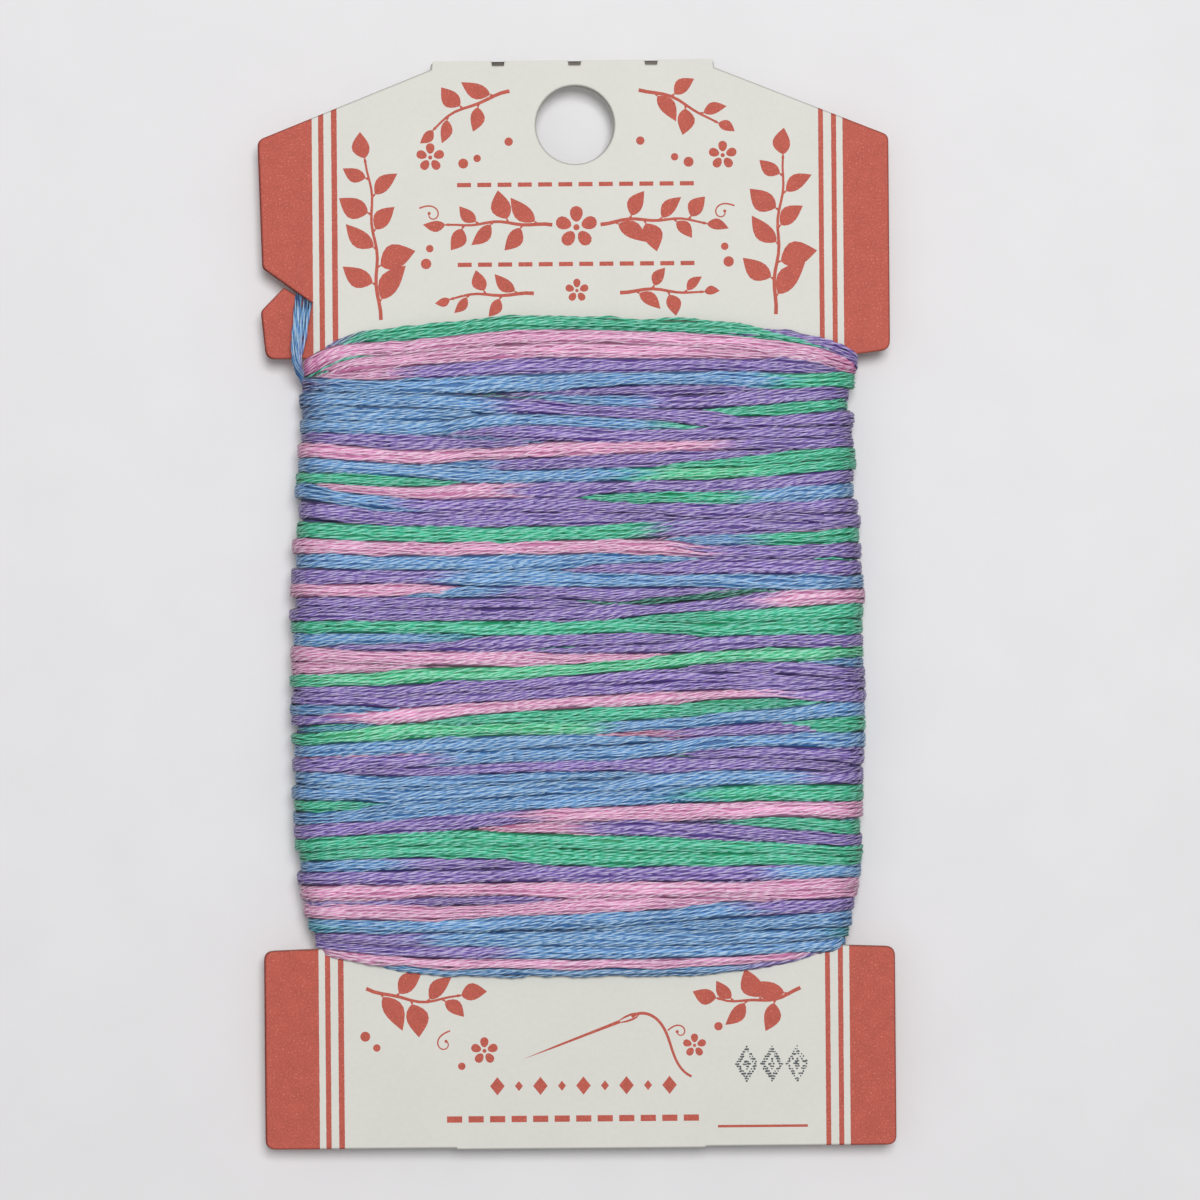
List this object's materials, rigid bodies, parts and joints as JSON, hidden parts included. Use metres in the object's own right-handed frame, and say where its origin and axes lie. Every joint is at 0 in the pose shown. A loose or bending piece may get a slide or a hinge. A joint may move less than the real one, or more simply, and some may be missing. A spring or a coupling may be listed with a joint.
{
  "type": "card of embroidery floss",
  "caption": "Folded card blank with a hang hole and a side notch, wound round its waist with variegated six-strand cotton floss whose free end is held in the notch.",
  "frame": {"origin": "on the surface that the winding's back rests on, under the middle of the card", "axes": "+Z out of the card's printed front, +Y up the card towards the hang hole, +X to the right of the front"},
  "size_m": [0.0498, 0.086, 0.0058],
  "materials": {
    "card_stock": "uncoated off-white card with brick red printed bands",
    "wound_floss": "variegated mercerised cotton in pink, purple, blue and green",
    "loose_floss": "blue stretch of the same mercerised cotton"
  },
  "bodies": {
    "root": {"card": "card_stock", "winding": "wound_floss", "loose_end": "loose_floss", "loose_end_tail": "loose_floss"}
  },
  "joints": []
}
